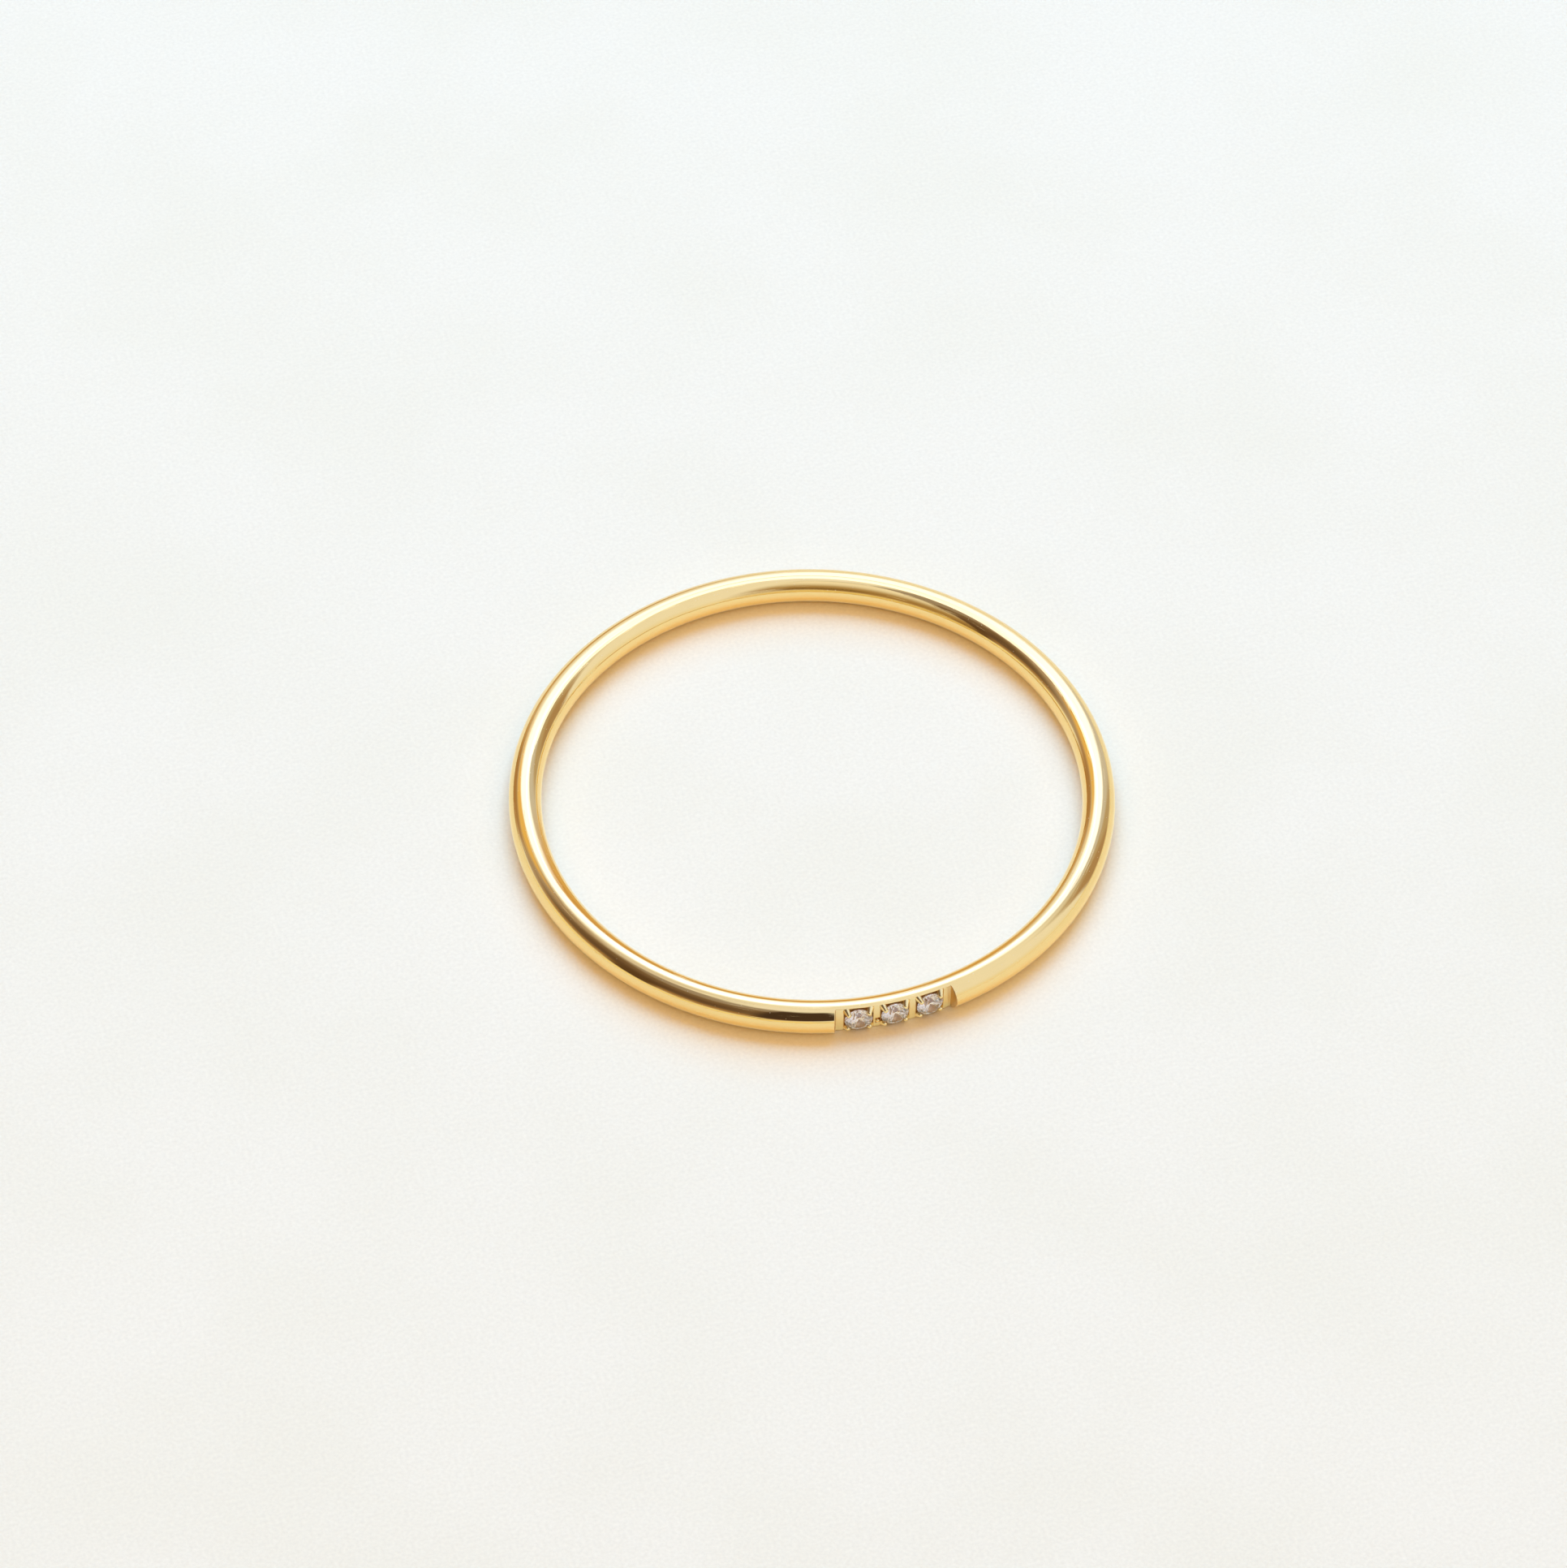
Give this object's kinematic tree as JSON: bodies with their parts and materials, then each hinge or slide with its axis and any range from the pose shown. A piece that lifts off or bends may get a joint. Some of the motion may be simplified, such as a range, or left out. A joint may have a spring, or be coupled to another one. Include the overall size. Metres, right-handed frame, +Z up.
{
  "type": "stackable ring",
  "caption": "Slim stackable finger ring of round polished gold-tone wire, with small round brilliants held by prongs in a milled recess.",
  "frame": {"origin": "on the ring's axis, at the bottom of the wire as the ring lies flat", "axes": "+Z along the ring's axis, upwards as it lies; the setting faces -Y, so +X is to the right of somebody who looks at the stones with +Z up"},
  "size_m": [0.0194, 0.0192, 0.001],
  "materials": {
    "gold": "mirror-polished yellow gold colour, with fine handling scratches",
    "stone": "clear faceted brilliant"
  },
  "bodies": {
    "root": {"band": "gold", "stone_left": "stone", "stone_middle": "stone", "stone_right": "stone"}
  },
  "joints": []
}
